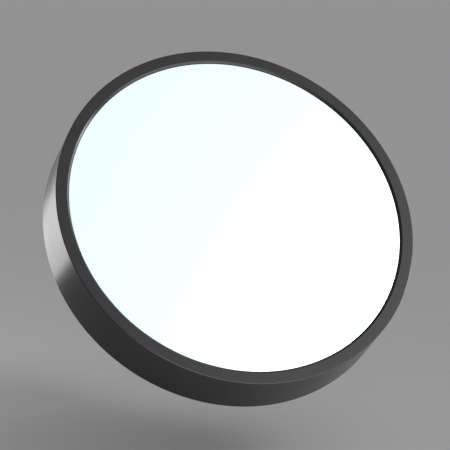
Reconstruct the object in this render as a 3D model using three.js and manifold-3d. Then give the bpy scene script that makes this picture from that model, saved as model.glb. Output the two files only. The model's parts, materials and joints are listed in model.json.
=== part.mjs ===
// Extendable shaving mirror: a round mirror head on a scissor arm, folded against the wall.
// Millimetres. The wall is the plane y = 0, the mirror looks along -Y, +Z is up, and the
// origin is the centre of the wall plate's back face.
import * as THREE from "three";
import { mergeVertices } from "three/addons/utils/BufferGeometryUtils.js";
import Module from "manifold-3d";

const wasm = await Module();
wasm.setup();

// Driving dimensions ---------------------------------------------------------------------

const GAP = 0.3; // clearance between neighbouring pieces

// Scissor arm. Each cell is an A bar and a B bar crossed at their middles.
const CELLS = 4;
const BAR_LENGTH = 84; // end pivot to end pivot
const BAR_WIDTH = 8.5;
const BAR_THICKNESS = 2.5;
const CELL_WIDTH = 11; // one cell, folded
const RIVET_RADIUS = 1.6;
const RIVET_HEAD_RADIUS = 3.2;
const RIVET_HEAD_HEIGHT = 1.2;

// Vertical rods and the collars that turn and slide on them
const ROD_RADIUS = 3;
const COLLAR_RADIUS = 5.5;
const COLLAR_HEIGHT = 11;
const COLLAR_REACH = 10.5; // rod axis to the bars' end pivots
const TAB_THICKNESS = 3;
const TAB_RADIUS = 4.6;
const WASHER_THICKNESS = 1;
const STOP_RING_HEIGHT = 3;
const ROD_NUT_RADIUS = 4.6;
const ROD_NUT_HEIGHT = 5.6;
const ROD_NUT_BORE = 3.6; // depth of the blind bore

// C brackets that hold the rods
const BRACKET_WIDTH = 18;
const BRACKET_THICKNESS = 3;
const LUG_THICKNESS = 4;
const SPINE_DISTANCE = 8.7; // rod axis to the near face of the bracket's spine
const SCREW_RADIUS = 1.8;
const BRACKET_SCREW_LENGTH = 7;
const NECK_SCREW_LENGTH = 9;
const SCREW_HEAD_RADIUS = 3.6;
const SCREW_HEAD_HEIGHT = 1.8;
const BRACKET_SCREW_HEIGHT = 22;

// Wall plate and its cover
const PLATE_RADIUS = 40;
const PLATE_THICKNESS = 6;
const WALL_SCREW_RADIUS = 2.5;
const WALL_SCREW_SPREAD = 28; // middle of the plate to each wall screw
const COVER_RADIUS = 42;
const COVER_SKIN = 1.6;
const COVER_FRONT = 8; // wall to the cover's front face
const COVER_EDGE = 1.5; // chamfer round the cover's front

// Neck and tilt joint
const NECK_REACH = 40; // front rod axis to the tilt axis
const NECK_FLANGE_RADIUS = 11;
const NECK_FLANGE_THICKNESS = 3;
const NECK_RADIUS = 5.5;
const FORK_RADIUS = 8;
const FORK_HALF_WIDTH = 8.5;
const FORK_SLOT_HALF_WIDTH = 5;
const FORK_DEPTH = 13;
const FORK_ROOT_GAP = 1.5; // the tongue's round end to the bottom of the slot
const TONGUE_RADIUS = 7;
const TONGUE_HALF_WIDTH = 3.5;
const FRICTION_WASHER_THICKNESS = 0.9;
const BOLT_RADIUS = 2.5;
const BOLT_HEAD_RADIUS = 5;
const BOLT_HEAD_HEIGHT = 3;
const BOLT_END = 4; // past the fork, inside the nut
const TILT_NUT_RADIUS = 6;
const TILT_NUT_HEIGHT = 5;
const TILT_NUT_EDGE = 1;

// Mirror head, measured from the tilt axis along the way the mirror looks
const HEAD_TILT = THREE.MathUtils.degToRad(35); // above the horizontal
const HEAD_RADIUS = 100;
const HEAD_BACK = 15;
const HEAD_THICKNESS = 31;
const HEAD_FRONT = HEAD_BACK + HEAD_THICKNESS;
const HOUSING_WALL = 2;
const FRONT_CHAMFER = 1.2;
const BACK_CHAMFER = 0.8;
const RECESS_RADIUS = 93.2;
const RECESS_DEPTH = 1.2; // rim face to the glass
const GLASS_RADIUS = 92.7;
const GLASS_THICKNESS = 3;
const GLASS_BEVEL = 1;
const PAD_RADIUS = 90;
const PAD_THICKNESS = 1;
const WEB_THICKNESS = 2;
const BACK_COVER_THICKNESS = 2;
const POST_RADIUS = 4.5;
const POST_CIRCLE = 82;
const STIFFENER_RADIUS = 40;
const STIFFENER_THICKNESS = 2;
const KNUCKLE_FLANGE_RADIUS = 17;
const KNUCKLE_FLANGE_THICKNESS = 3;
const KNUCKLE_SCREW_CIRCLE = 12;
const SMALL_SCREW_RADIUS = 1.5;
const SMALL_SCREW_HEAD_RADIUS = 2.9;
const SMALL_SCREW_HEAD_HEIGHT = 1.6;
const COVER_SCREW_LENGTH = 10;
const KNUCKLE_SCREW_LENGTH = 8.5;

// Facets round a circle
const FINE = 60;
const MEDIUM = 28;
const COARSE = 12;
const PIN_SIDES = 8;
const BAR_ARC = 5; // in half a circle of a bar's outline

const PAST = 1; // how far a cutting tool runs past the piece it cuts
const FAR = 30; // beyond any small piece, from its middle

// Derived places -------------------------------------------------------------------------

const FOLD_ANGLE = Math.asin(CELL_WIDTH / BAR_LENGTH);
const PIVOT_HEIGHT = (BAR_LENGTH * Math.cos(FOLD_ANGLE)) / 2;
const SPINE_BACK_Y = -(COVER_FRONT + GAP);
const WALL_ROD_Y = SPINE_BACK_Y - BRACKET_THICKNESS - SPINE_DISTANCE;
const pivotY = (index) => WALL_ROD_Y - COLLAR_REACH - index * CELL_WIDTH;
const FRONT_ROD_Y = pivotY(CELLS) - COLLAR_REACH;
const TILT_Y = FRONT_ROD_Y - NECK_REACH;
const WASHER_BOTTOM = PIVOT_HEIGHT + COLLAR_HEIGHT / 2 + GAP;
const LUG_BOTTOM = WASHER_BOTTOM + WASHER_THICKNESS + GAP;
const LUG_TOP = LUG_BOTTOM + LUG_THICKNESS;
const NUT_BOTTOM = LUG_TOP + GAP;
const STACK_HALF = GAP + BAR_THICKNESS; // outer face of the bars from the arm's middle plane
const TAB_INNER = STACK_HALF + GAP;
const TAB_OUTER = TAB_INNER + TAB_THICKNESS;
const GLASS_FRONT = HEAD_FRONT - RECESS_DEPTH;
const GLASS_BACK = GLASS_FRONT - GLASS_THICKNESS;
const PAD_FRONT = GLASS_BACK - GAP;
const WEB_FRONT = PAD_FRONT - PAD_THICKNESS - GAP;
const WEB_BACK = WEB_FRONT - WEB_THICKNESS;
const STIFFENER_BACK = HEAD_BACK + BACK_COVER_THICKNESS + GAP;

// Finishes -------------------------------------------------------------------------------

const finish = (color, roughness, metalness) => () =>
  new THREE.MeshStandardMaterial({ color, roughness, metalness });
const satinBlack = finish(0x2b2b2c, 0.42, 0.6);
const steel = finish(0xb9bbbd, 0.3, 1);
const silvered = finish(0xf2fbfb, 0.03, 1);
const foam = finish(0x3a3a3a, 0.95, 0);
const nylon = finish(0x1c1c1c, 0.6, 0);

// Solid helpers --------------------------------------------------------------------------

function solidOf(geometry) {
  const bare = geometry.index ? geometry.toNonIndexed() : geometry.clone();
  bare.deleteAttribute("normal");
  bare.deleteAttribute("uv");
  const merged = mergeVertices(bare, 1e-4);
  return new wasm.Manifold(
    new wasm.Mesh({
      numProp: 3,
      vertProperties: merged.attributes.position.array,
      triVerts: new Uint32Array(merged.index.array),
    }),
  );
}

function geometryOf(solid) {
  const mesh = solid.getMesh();
  const geometry = new THREE.BufferGeometry();
  geometry.setAttribute("position", new THREE.BufferAttribute(mesh.vertProperties, 3));
  geometry.setIndex(new THREE.BufferAttribute(mesh.triVerts, 1));
  return geometry;
}

const join = (first, ...rest) =>
  geometryOf(rest.reduce((sum, next) => sum.add(solidOf(next)), solidOf(first)));

const cut = (body, ...tools) =>
  geometryOf(tools.reduce((left, tool) => left.subtract(solidOf(tool)), solidOf(body)));

// A solid turned about Z from a profile of [radius, height] points.
function turned(profile, sides) {
  const points = profile.map(([radius, height]) => new THREE.Vector2(radius, height));
  return new THREE.LatheGeometry(points, sides).rotateX(Math.PI / 2);
}

// A round bar along Z. The profile of every turned solid runs up its outside.
const roundBar = (radius, low, high, sides = COARSE) =>
  turned([[0, low], [radius, low], [radius, high], [0, high]], sides);

// A tube along Z
const tube = (outer, inner, low, high, sides = COARSE) =>
  turned([[inner, low], [outer, low], [outer, high], [inner, high], [inner, low]], sides);

const alongX = (geometry) => geometry.rotateY(Math.PI / 2);
const alongY = (geometry) => geometry.rotateX(-Math.PI / 2);

function box(x0, x1, y0, y1, z0, z1) {
  const geometry = new THREE.BoxGeometry(x1 - x0, y1 - y0, z1 - z0);
  return geometry.translate((x0 + x1) / 2, (y0 + y1) / 2, (z0 + z1) / 2);
}

// An outline drawn in the Y-Z plane, made solid from x = low to x = high
function sidePlate(shape, low, high, curveSegments = COARSE / 2) {
  const geometry = new THREE.ExtrudeGeometry(shape, {
    depth: high - low,
    bevelEnabled: false,
    curveSegments,
  });
  const toSide = new THREE.Matrix4().makeBasis(
    new THREE.Vector3(0, 1, 0),
    new THREE.Vector3(0, 0, 1),
    new THREE.Vector3(1, 0, 0),
  );
  return geometry.applyMatrix4(toSide).translate(low, 0, 0);
}

// A strip with one round end about the origin, the other end square at u = length
function roundEndedShape(radius, length) {
  const clockwise = length > 0;
  const shape = new THREE.Shape();
  shape.moveTo(length, -radius);
  shape.lineTo(0, -radius);
  shape.absarc(0, 0, radius, -Math.PI / 2, Math.PI / 2, clockwise);
  shape.lineTo(length, radius);
  shape.closePath();
  return shape;
}

// A rivet along +Z: the same head at both ends of its grip
function headedPin(shank, head, headHeight, grip) {
  return turned(
    [
      [0, -headHeight],
      [0.75 * head, -headHeight],
      [head, 0],
      [shank, 0],
      [shank, grip],
      [head, grip],
      [0.75 * head, grip + headHeight],
      [0, grip + headHeight],
    ],
    PIN_SIDES,
  );
}

// A screw along +Z: flat round head below z = 0 with a hex socket, shank above
function socketScrew(shank, head, headHeight, length) {
  const body = turned(
    [
      [0, -headHeight],
      [0.85 * head, -headHeight],
      [head, -0.7 * headHeight],
      [head, 0],
      [shank, 0],
      [shank, length],
      [0, length],
    ],
    PIN_SIDES,
  );
  const socket = roundBar(0.45 * head, -headHeight - PAST, -0.4 * headHeight, 6);
  return cut(body, socket);
}

// Assembly -------------------------------------------------------------------------------

const mirror = new THREE.Group();
const head = new THREE.Group();
head.position.set(0, TILT_Y, 0);
head.rotation.x = -HEAD_TILT;
mirror.add(head);

function place(parent, name, geometry, material, x = 0, y = 0, z = 0) {
  const mesh = new THREE.Mesh(geometry, material());
  mesh.name = name;
  mesh.position.set(x, y, z);
  parent.add(mesh);
  return mesh;
}

// Wall plate and cover -------------------------------------------------------------------

// The bracket's two screw holes, from y = low to y = high
const bracketScrewHoles = (low, high) =>
  [-1, 1].map((side) =>
    alongY(roundBar(SCREW_RADIUS + GAP, low, high)).translate(0, 0, side * BRACKET_SCREW_HEIGHT),
  );

function wallPlate() {
  const plate = alongY(roundBar(PLATE_RADIUS, -PLATE_THICKNESS, 0, MEDIUM));
  const front = -PLATE_THICKNESS - PAST;
  const wallHoles = [-1, 1].map((side) =>
    alongY(roundBar(WALL_SCREW_RADIUS, front, PAST)).translate(side * WALL_SCREW_SPREAD, 0, 0),
  );
  const blindEnd = -1;
  return cut(plate, ...wallHoles, ...bracketScrewHoles(front, blindEnd));
}

function wallCover() {
  const inner = COVER_RADIUS - COVER_SKIN;
  const shell = alongY(
    turned(
      [
        [0, -COVER_FRONT],
        [COVER_RADIUS - COVER_EDGE, -COVER_FRONT],
        [COVER_RADIUS, -COVER_FRONT + COVER_EDGE],
        [COVER_RADIUS, -GAP],
        [inner, -GAP],
        [inner, -COVER_FRONT + COVER_SKIN],
        [0, -COVER_FRONT + COVER_SKIN],
      ],
      MEDIUM,
    ),
  );
  return cut(shell, ...bracketScrewHoles(-COVER_FRONT - PAST, 0));
}

// C bracket about a rod on the Z axis. side = +1 puts the spine on the rod's +Y side.
function bracket(side, screwHeights) {
  const near = side * SPINE_DISTANCE;
  const far = side * (SPINE_DISTANCE + BRACKET_THICKNESS);
  const spine = box(
    -BRACKET_WIDTH / 2, BRACKET_WIDTH / 2,
    Math.min(near, far), Math.max(near, far),
    -LUG_TOP, LUG_TOP,
  );
  const plan = roundEndedShape(BRACKET_WIDTH / 2, SPINE_DISTANCE + BRACKET_THICKNESS);
  const lug = () =>
    new THREE.ExtrudeGeometry(plan, {
      depth: LUG_THICKNESS,
      bevelEnabled: false,
      curveSegments: COARSE / 2,
    }).rotateZ((side * Math.PI) / 2);
  const frame = join(
    spine,
    lug().translate(0, 0, LUG_BOTTOM),
    lug().translate(0, 0, -LUG_TOP),
  );
  const rodHole = roundBar(ROD_RADIUS + GAP, -LUG_TOP - PAST, LUG_TOP + PAST);
  const seat = SPINE_DISTANCE + SCREW_HEAD_HEIGHT;
  const turn = side > 0 ? 0 : Math.PI;
  const screwHoles = screwHeights.flatMap((z) => [
    alongY(roundBar(SCREW_RADIUS + GAP, 0, FAR)).rotateZ(turn).translate(0, 0, z),
    alongY(roundBar(SCREW_HEAD_RADIUS + GAP, SPINE_DISTANCE - PAST, seat))
      .rotateZ(turn)
      .translate(0, 0, z),
  ]);
  return cut(frame, rodHole, ...screwHoles);
}

// Rod, its nuts, the washer above the top collar and the stop ring below it
function rodSet(prefix, y) {
  const bore = ROD_RADIUS + GAP;
  const capNut = () =>
    turned(
      [
        [bore, 0],
        [ROD_NUT_RADIUS, 0],
        [ROD_NUT_RADIUS, 0.55 * ROD_NUT_HEIGHT],
        [0.75 * ROD_NUT_RADIUS, 0.9 * ROD_NUT_HEIGHT],
        [0, ROD_NUT_HEIGHT],
        [0, ROD_NUT_BORE],
        [bore, ROD_NUT_BORE],
        [bore, 0],
      ],
      PIN_SIDES,
    );
  const rodEnd = NUT_BOTTOM + ROD_NUT_BORE - GAP;
  const washer = tube(COLLAR_RADIUS, bore, 0, WASHER_THICKNESS);
  const stop = tube(COLLAR_RADIUS - GAP, bore, 0, STOP_RING_HEIGHT);
  const stopZ = PIVOT_HEIGHT - COLLAR_HEIGHT / 2 - GAP - STOP_RING_HEIGHT;
  place(mirror, `${prefix}_rod`, roundBar(ROD_RADIUS, -rodEnd, rodEnd), steel, 0, y);
  place(mirror, `${prefix}_rod_nut_top`, capNut(), satinBlack, 0, y, NUT_BOTTOM);
  const lowerNut = capNut().rotateX(Math.PI);
  place(mirror, `${prefix}_rod_nut_bottom`, lowerNut, satinBlack, 0, y, -NUT_BOTTOM);
  place(mirror, `${prefix}_washer`, washer, nylon, 0, y, WASHER_BOTTOM);
  place(mirror, `${prefix}_stop_ring`, stop, steel, 0, y, stopZ);
}

// Collar on a rod, with a tab to one side that carries a bar's end pivot.
// reach is the Y distance from the rod to the pivot, side the X side of the tab.
function collar(reach, side) {
  const sleeve = roundBar(COLLAR_RADIUS, -COLLAR_HEIGHT / 2, COLLAR_HEIGHT / 2);
  const low = side > 0 ? TAB_INNER : -TAB_OUTER;
  const tab = sidePlate(roundEndedShape(TAB_RADIUS, -reach), low, low + TAB_THICKNESS);
  const body = join(sleeve, tab.translate(0, reach, 0));
  const bore = roundBar(ROD_RADIUS + GAP, -COLLAR_HEIGHT, COLLAR_HEIGHT);
  const pivotHole = alongX(roundBar(RIVET_RADIUS + GAP, -FAR, FAR)).translate(0, reach, 0);
  return cut(body, bore, pivotHole);
}

// Scissor arm ----------------------------------------------------------------------------

function bar() {
  const half = BAR_LENGTH / 2;
  const radius = BAR_WIDTH / 2;
  const outline = new THREE.Shape();
  outline.absarc(0, half, radius, 0, Math.PI);
  outline.absarc(0, -half, radius, Math.PI, 2 * Math.PI);
  outline.closePath();
  for (const height of [-half, 0, half]) {
    const hole = new THREE.Path();
    hole.absarc(0, height, RIVET_RADIUS + GAP, 0, 2 * Math.PI);
    outline.holes.push(hole);
  }
  return sidePlate(outline, 0, BAR_THICKNESS, BAR_ARC);
}

const rivet = () =>
  alongX(
    headedPin(RIVET_RADIUS, RIVET_HEAD_RADIUS, RIVET_HEAD_HEIGHT, 2 * (STACK_HALF + GAP)),
  ).translate(-STACK_HALF - GAP, 0, 0);

// Pivot pin through a collar's tab and one bar
function tabPivot(side) {
  const grip = TAB_OUTER + GAP;
  const pin = headedPin(RIVET_RADIUS, RIVET_HEAD_RADIUS, RIVET_HEAD_HEIGHT, grip);
  const placed = alongX(pin).translate(-TAB_OUTER - GAP, 0, 0);
  return side > 0 ? placed.rotateZ(Math.PI) : placed;
}

function scissorArm() {
  for (let cell = 1; cell <= CELLS; cell += 1) {
    const middle = (pivotY(cell - 1) + pivotY(cell)) / 2;
    const a = place(mirror, `bar_a${cell}`, bar(), satinBlack, -STACK_HALF, middle);
    const b = place(mirror, `bar_b${cell}`, bar(), satinBlack, GAP, middle);
    a.rotation.x = -FOLD_ANGLE;
    b.rotation.x = FOLD_ANGLE;
    place(mirror, `centre_rivet_${cell}`, rivet(), steel, 0, middle);
  }
  for (let joint = 1; joint < CELLS; joint += 1) {
    place(mirror, `upper_rivet_${joint}`, rivet(), steel, 0, pivotY(joint), PIVOT_HEIGHT);
    place(mirror, `lower_rivet_${joint}`, rivet(), steel, 0, pivotY(joint), -PIVOT_HEIGHT);
  }
}

function collars() {
  const ends = [
    ["wall_top", WALL_ROD_Y, -1, -1, 1],
    ["wall_lower", WALL_ROD_Y, -1, 1, -1],
    ["front_top", FRONT_ROD_Y, 1, 1, 1],
    ["front_lower", FRONT_ROD_Y, 1, -1, -1],
  ];
  for (const [name, rodY, way, side, level] of ends) {
    const reach = way * COLLAR_REACH;
    const z = level * PIVOT_HEIGHT;
    place(mirror, `${name}_collar`, collar(reach, side), satinBlack, 0, rodY, z);
    place(mirror, `${name}_pivot`, tabPivot(side), steel, 0, rodY + reach, z);
  }
}

// Neck and tilt joint --------------------------------------------------------------------

// Built about the tilt axis, with the front bracket on its +Y side
function neck() {
  const flangeFar = NECK_REACH - SPINE_DISTANCE - BRACKET_THICKNESS - GAP;
  const flangeNear = flangeFar - NECK_FLANGE_THICKNESS;
  const flange = alongY(roundBar(NECK_FLANGE_RADIUS, flangeNear, flangeFar, MEDIUM));
  const stem = alongY(roundBar(NECK_RADIUS, FORK_DEPTH - PAST, flangeNear + PAST));
  const fork = sidePlate(
    roundEndedShape(FORK_RADIUS, FORK_DEPTH), -FORK_HALF_WIDTH, FORK_HALF_WIDTH,
  );
  const slot = box(
    -FORK_SLOT_HALF_WIDTH, FORK_SLOT_HALF_WIDTH,
    -FORK_RADIUS - PAST, TONGUE_RADIUS + FORK_ROOT_GAP,
    -FORK_RADIUS - PAST, FORK_RADIUS + PAST,
  );
  const boltHole = alongX(roundBar(BOLT_RADIUS + GAP, -FAR, FAR));
  const screwHole = alongY(
    roundBar(SCREW_RADIUS + GAP, flangeFar - NECK_SCREW_LENGTH, flangeFar + PAST),
  );
  return cut(join(flange, stem, fork), slot, boltHole, screwHole);
}

function tiltBolt() {
  const length = 2 * (FORK_HALF_WIDTH + GAP) + BOLT_END;
  const bolt = socketScrew(BOLT_RADIUS, BOLT_HEAD_RADIUS, BOLT_HEAD_HEIGHT, length);
  return alongX(bolt).translate(-FORK_HALF_WIDTH - GAP, 0, 0);
}

function tiltNut() {
  const inner = BOLT_RADIUS + GAP;
  const low = FORK_HALF_WIDTH + GAP;
  const high = low + TILT_NUT_HEIGHT;
  const nut = turned(
    [
      [inner, low],
      [TILT_NUT_RADIUS, low],
      [TILT_NUT_RADIUS, high - TILT_NUT_EDGE],
      [TILT_NUT_RADIUS - TILT_NUT_EDGE, high],
      [inner, high],
      [inner, low],
    ],
    COARSE,
  );
  return alongX(nut);
}

function frictionWasher(side) {
  const low = TONGUE_HALF_WIDTH + GAP;
  const high = low + FRICTION_WASHER_THICKNESS;
  const washer = alongX(tube(TONGUE_RADIUS - 0.5, BOLT_RADIUS + GAP, low, high));
  return side > 0 ? washer : washer.rotateZ(Math.PI);
}

function frontAssembly() {
  const spineScrewY = FRONT_ROD_Y - SPINE_DISTANCE - SCREW_HEAD_HEIGHT;
  place(mirror, "front_bracket", bracket(-1, [0]), satinBlack, 0, FRONT_ROD_Y);
  rodSet("front", FRONT_ROD_Y);
  place(mirror, "neck", neck(), satinBlack, 0, TILT_Y);
  const headHeight = SCREW_HEAD_HEIGHT - GAP;
  const screw = socketScrew(SCREW_RADIUS, SCREW_HEAD_RADIUS, headHeight, NECK_SCREW_LENGTH);
  place(mirror, "neck_screw", screw.rotateX(Math.PI / 2), steel, 0, spineScrewY + GAP);
  place(mirror, "tilt_bolt", tiltBolt(), steel, 0, TILT_Y);
  place(mirror, "tilt_nut", tiltNut(), satinBlack, 0, TILT_Y);
  place(mirror, "friction_washer_left", frictionWasher(-1), nylon, 0, TILT_Y);
  place(mirror, "friction_washer_right", frictionWasher(1), nylon, 0, TILT_Y);
}

// Mirror head, in the head group's frame: the tilt axis is X, and -Y is the way it looks ----

// A point of the head's profiles: radius from the head's axis, depth in front of the tilt axis
const headTurned = (profile, sides) =>
  alongY(turned(profile.map(([radius, depth]) => [radius, -depth]).reverse(), sides));

const headBar = (radius, from, to, sides) =>
  headTurned([[0, from], [radius, from], [radius, to], [0, to]], sides);

// Three places round the head's axis, on a circle of the given radius
function onCircle(radius, firstAngle) {
  return [0, 1, 2].map((index) => {
    const angle = firstAngle + (index * 2 * Math.PI) / 3;
    return [radius * Math.cos(angle), radius * Math.sin(angle)];
  });
}

const postPlaces = onCircle(POST_CIRCLE, Math.PI / 6);
const knucklePlaces = onCircle(KNUCKLE_SCREW_CIRCLE, Math.PI / 2);

const holesAt = (places, radius, from, to) =>
  places.map(([x, z]) => headBar(radius, from, to, COARSE).translate(x, 0, z));

function housing() {
  const inner = HEAD_RADIUS - HOUSING_WALL;
  const drum = headTurned(
    [
      [0, WEB_BACK],
      [inner, WEB_BACK],
      [inner, HEAD_BACK],
      [HEAD_RADIUS - BACK_CHAMFER, HEAD_BACK],
      [HEAD_RADIUS, HEAD_BACK + BACK_CHAMFER],
      [HEAD_RADIUS, HEAD_FRONT - FRONT_CHAMFER],
      [HEAD_RADIUS - FRONT_CHAMFER, HEAD_FRONT],
      [RECESS_RADIUS, HEAD_FRONT],
      [RECESS_RADIUS, WEB_FRONT],
      [0, WEB_FRONT],
    ],
    FINE,
  );
  const postBack = HEAD_BACK + BACK_COVER_THICKNESS + GAP;
  const threadEnd = HEAD_BACK + COVER_SCREW_LENGTH + PAST;
  const posts = holesAt(postPlaces, POST_RADIUS, postBack, WEB_BACK + PAST);
  const threads = holesAt(postPlaces, SMALL_SCREW_RADIUS + GAP, postBack - PAST, threadEnd);
  return cut(join(drum, ...posts), ...threads);
}

const mirrorGlass = () =>
  headTurned(
    [
      [0, GLASS_BACK],
      [GLASS_RADIUS, GLASS_BACK],
      [GLASS_RADIUS, GLASS_FRONT - GLASS_BEVEL],
      [GLASS_RADIUS - GLASS_BEVEL, GLASS_FRONT],
      [0, GLASS_FRONT],
    ],
    FINE,
  );

function backCover() {
  const front = HEAD_BACK + BACK_COVER_THICKNESS;
  const disc = headBar(HEAD_RADIUS - HOUSING_WALL - GAP, HEAD_BACK, front, FINE);
  const reach = [HEAD_BACK - PAST, front + PAST];
  return cut(
    disc,
    ...holesAt(postPlaces, SMALL_SCREW_RADIUS + GAP, ...reach),
    ...holesAt(knucklePlaces, SMALL_SCREW_RADIUS + GAP, ...reach),
  );
}

function stiffenerPlate() {
  const front = STIFFENER_BACK + STIFFENER_THICKNESS;
  const disc = headBar(STIFFENER_RADIUS, STIFFENER_BACK, front, MEDIUM);
  const reach = [STIFFENER_BACK - PAST, front + PAST];
  return cut(disc, ...holesAt(knucklePlaces, SMALL_SCREW_RADIUS + GAP, ...reach));
}

function knuckle() {
  const flangeFront = HEAD_BACK - GAP;
  const flangeBack = flangeFront - KNUCKLE_FLANGE_THICKNESS;
  const flange = headBar(KNUCKLE_FLANGE_RADIUS, flangeBack, flangeFront, MEDIUM);
  const tongue = sidePlate(
    roundEndedShape(TONGUE_RADIUS, -flangeFront + PAST), -TONGUE_HALF_WIDTH, TONGUE_HALF_WIDTH,
  );
  const boltHole = alongX(roundBar(BOLT_RADIUS + GAP, -FAR, FAR));
  const screwHoles = holesAt(
    knucklePlaces, SMALL_SCREW_RADIUS + GAP, flangeBack - PAST, flangeFront + PAST,
  );
  return cut(join(flange, tongue), boltHole, ...screwHoles);
}

// Small screws that go into the head from behind: depth is the face under their heads
function headScrews(name, places, depth, length) {
  places.forEach(([x, z], index) => {
    const screw = socketScrew(
      SMALL_SCREW_RADIUS, SMALL_SCREW_HEAD_RADIUS, SMALL_SCREW_HEAD_HEIGHT, length,
    );
    screw.rotateX(Math.PI / 2).translate(0, -depth, 0);
    place(head, `${name}_${index + 1}`, screw, steel, x, 0, z);
  });
}

function headAssembly() {
  const padBack = PAD_FRONT - PAD_THICKNESS;
  const flangeBack = HEAD_BACK - GAP - KNUCKLE_FLANGE_THICKNESS;
  place(head, "housing", housing(), satinBlack);
  place(head, "mirror_glass", mirrorGlass(), silvered);
  place(head, "mirror_pad", headBar(PAD_RADIUS, padBack, PAD_FRONT, MEDIUM), foam);
  place(head, "back_cover", backCover(), satinBlack);
  place(head, "stiffener_plate", stiffenerPlate(), steel);
  place(head, "knuckle", knuckle(), satinBlack);
  headScrews("cover_screw", postPlaces, HEAD_BACK - GAP, COVER_SCREW_LENGTH);
  headScrews("knuckle_screw", knucklePlaces, flangeBack - GAP, KNUCKLE_SCREW_LENGTH);
}

// Wall side ------------------------------------------------------------------------------

function wallAssembly() {
  place(mirror, "wall_plate", wallPlate(), steel);
  place(mirror, "wall_cover", wallCover(), satinBlack);
  const heights = [BRACKET_SCREW_HEIGHT, -BRACKET_SCREW_HEIGHT];
  place(mirror, "wall_bracket", bracket(1, heights), satinBlack, 0, WALL_ROD_Y);
  rodSet("wall", WALL_ROD_Y);
  const seat = WALL_ROD_Y + SPINE_DISTANCE + SCREW_HEAD_HEIGHT - GAP;
  const headHeight = SCREW_HEAD_HEIGHT - GAP;
  heights.forEach((z, index) => {
    const screw = socketScrew(SCREW_RADIUS, SCREW_HEAD_RADIUS, headHeight, BRACKET_SCREW_LENGTH);
    const name = `bracket_screw_${index ? "lower" : "upper"}`;
    place(mirror, name, screw.rotateX(-Math.PI / 2), steel, 0, seat, z);
  });
}

wallAssembly();
scissorArm();
collars();
frontAssembly();
headAssembly();

export default mirror;
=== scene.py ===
"""Extendable shaving mirror: the look of every piece, built round the CAD frame.
Metres. The wall is the plane y = 0, the mirror looks along -Y and 35 degrees up, Z is up."""
import json
import math

import bmesh
import bpy
from mathutils import Matrix, Vector

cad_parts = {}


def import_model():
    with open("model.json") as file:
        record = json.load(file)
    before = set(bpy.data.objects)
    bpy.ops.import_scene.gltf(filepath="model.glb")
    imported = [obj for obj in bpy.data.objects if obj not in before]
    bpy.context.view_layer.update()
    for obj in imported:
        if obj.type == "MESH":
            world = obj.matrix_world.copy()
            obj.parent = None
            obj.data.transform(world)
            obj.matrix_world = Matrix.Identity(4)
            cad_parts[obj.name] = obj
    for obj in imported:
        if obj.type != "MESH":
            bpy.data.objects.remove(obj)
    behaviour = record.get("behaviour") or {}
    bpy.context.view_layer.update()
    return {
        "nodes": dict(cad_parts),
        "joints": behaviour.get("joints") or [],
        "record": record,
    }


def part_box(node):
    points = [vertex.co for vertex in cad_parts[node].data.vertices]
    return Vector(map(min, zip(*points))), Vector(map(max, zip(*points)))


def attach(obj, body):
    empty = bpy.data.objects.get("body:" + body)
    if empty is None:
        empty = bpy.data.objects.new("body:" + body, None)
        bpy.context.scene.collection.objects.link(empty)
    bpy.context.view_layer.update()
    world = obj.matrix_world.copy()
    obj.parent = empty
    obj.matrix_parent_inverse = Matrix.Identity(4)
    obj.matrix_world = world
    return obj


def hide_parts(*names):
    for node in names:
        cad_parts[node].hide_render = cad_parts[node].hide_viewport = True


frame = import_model()

# Sizes of the small features ---------------------------------------------------------------

MM = 0.001
CLEARANCE = 0.3 * MM  # between neighbouring pieces
FINE_SIDES = 256  # round the drum and the mirror
WALL_SIDES = 128  # round the wall plate and its cover
SIDES = 72  # round the small turned pieces
HOLE_SIDES = 32  # round the holes for the arm's rivets
DOME_STEPS = 8  # segments from a dome's edge to its top
EASE_STEPS = 5  # segments across a rounded edge
SHARP_ANGLE = math.radians(50)  # edges sharper than this stay sharp
BEVEL_ANGLE = math.radians(40)  # edges sharper than this are bevelled
SAME = 0.02 * MM  # CAD levels closer than this are one level

RIM_CHAMFER = 0.3 * MM  # round the outside of the drum's front
RECESS_CHAMFER = 1.05 * MM  # round the drum's recess
CHAMFER_EASE = 0.1 * MM  # rounding where a chamfer ends
DRUM_BACK_EDGE = 0.7 * MM
SMALL_EDGE = 0.3 * MM
FINE_EDGE = 0.2 * MM
BEND_EDGE = 0.05 * MM  # of a bracket's strip, before its bevel
BRACKET_BEVEL = 0.35 * MM
BAR_EDGE = 0.35 * MM
COLLAR_EDGE = 0.6 * MM
BROAD_EDGE = 0.8 * MM  # of the fork and of the knuckle's flange
FLANGE_EDGE = 0.6 * MM  # of the neck's flange
STEM_FILLET = 1.5 * MM
TONGUE_EDGE = 0.4 * MM
NUT_EDGE = 0.5 * MM
HEAD_EDGE = 0.1 * MM  # under a screw's head
NYLON_EDGE = 0.15 * MM
RECESS_GAP = 0.12 * MM  # round the glass
GLASS_BEVEL = 0.25 * MM
GLASS_BEVEL_DEPTH = 0.25 * MM
GLASS_BACK_EDGE = 0.1 * MM
GLASS_EASE = 0.05 * MM  # rounding where the bevel meets the side
WEB_THICKNESS = 2 * MM
POST_RADIUS = 4.5 * MM
SMALL_HOLE = 1.8 * MM  # radius of the holes for the head's screws
HOLE = 2.1 * MM  # radius of the holes for the bracket and neck screws
HEAD_SEAT = 3.9 * MM  # radius of the seat round a bracket or neck screw's head
HEAD_SEAT_DEPTH = 1.8 * MM
BACK_GROOVES = (40 * MM, 90 * MM)  # radii of the rings moulded in the back cover
GROOVE_WIDTH = 2.4 * MM
GROOVE_DEPTH = 0.5 * MM
BRACKET_THICKNESS = 3 * MM
LUG_THICKNESS = 4 * MM
BEND_OUTER = 4.2 * MM
BEND_INNER = 1.2 * MM
TAB_THICKNESS = 3 * MM
COLLAR_GROOVE = 0.4 * MM
FLANGE_THICKNESS = 3 * MM
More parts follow.
